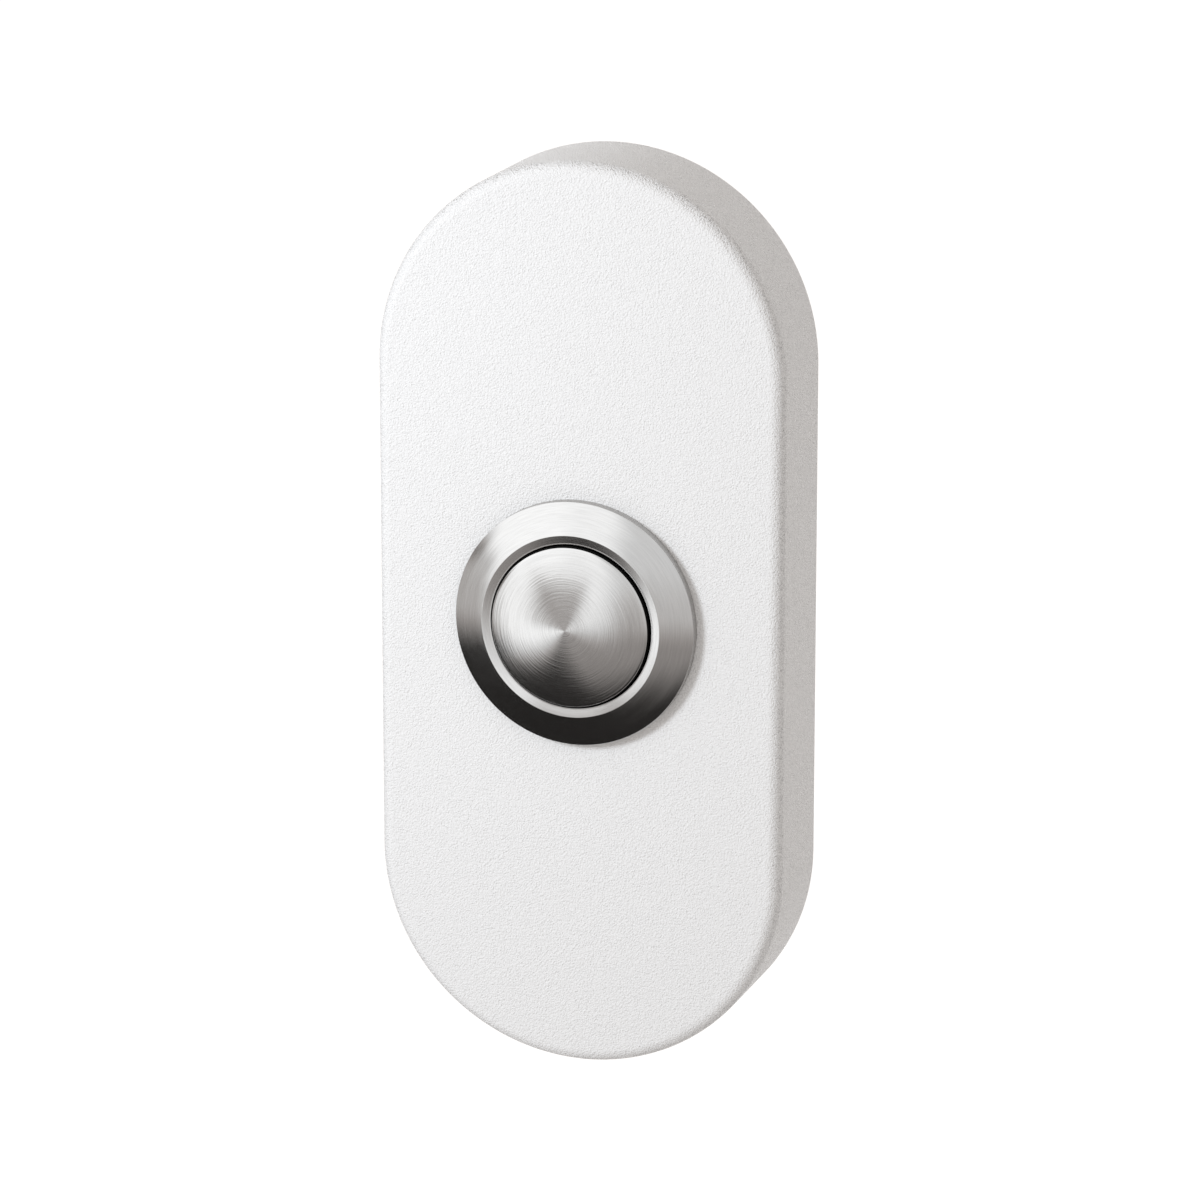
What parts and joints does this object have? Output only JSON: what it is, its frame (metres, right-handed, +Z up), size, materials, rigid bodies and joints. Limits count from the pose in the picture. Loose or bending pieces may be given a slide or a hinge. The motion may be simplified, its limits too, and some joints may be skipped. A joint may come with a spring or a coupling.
{
  "type": "doorbell push button",
  "caption": "Wall-mounted doorbell push: a round-ended powder-coated cover on a hooked wall plate, with a turned stainless domed push button and rear screw terminals.",
  "frame": {"origin": "on the wall plane, where the button's axis meets it, at the middle of the wall plate's back face", "axes": "+Z up along the cover's length, +Y into the wall along the button's axis, +X to the right seen from the front"},
  "size_m": [0.032, 0.0215, 0.07],
  "materials": {
    "white_powder_coat": "fine structured matt powder coat",
    "turned_stainless": "fine circular turning marks",
    "black_nylon": "lightly grained moulding",
    "ivory_plastic": "smooth moulding",
    "black_rubber": "matt",
    "black_oxide_steel": "black oxide",
    "plated_steel": "bright nickel plate",
    "spring_steel": "drawn stainless wire",
    "contact_bronze": "rolled spring bronze with silvered contacts",
    "terminal_brass": "stamped brass"
  },
  "bodies": {
    "bell_body": {"cover": "white_powder_coat", "base_plate": "black_nylon", "cover_set_screw": "black_oxide_steel", "button_housing": "turned_stainless", "head_gasket": "black_rubber", "lock_washer": "plated_steel", "hex_nut": "plated_steel", "return_spring": "spring_steel", "contact_carrier": "black_nylon", "terminal_block": "black_nylon", "contact_right": "terminal_brass", "contact_left": "terminal_brass", "terminal_screw_right": "plated_steel", "terminal_screw_left": "plated_steel", "terminal_clamp_right": "plated_steel", "terminal_clamp_left": "plated_steel"},
    "actuator": {"button_cap": "turned_stainless", "cap_seal": "black_rubber", "plunger": "ivory_plastic", "plunger_clip": "spring_steel", "contact_bridge": "contact_bronze"}
  },
  "joints": [
    {"name": "button_press", "type": "slide", "parent": "bell_body", "child": "actuator", "axis": [0, 1, 0], "range_m": [0, 0.0016], "stiffness_N_per_m": 900, "springref_m": -0.0015, "deforming": ["return_spring"]}
  ]
}
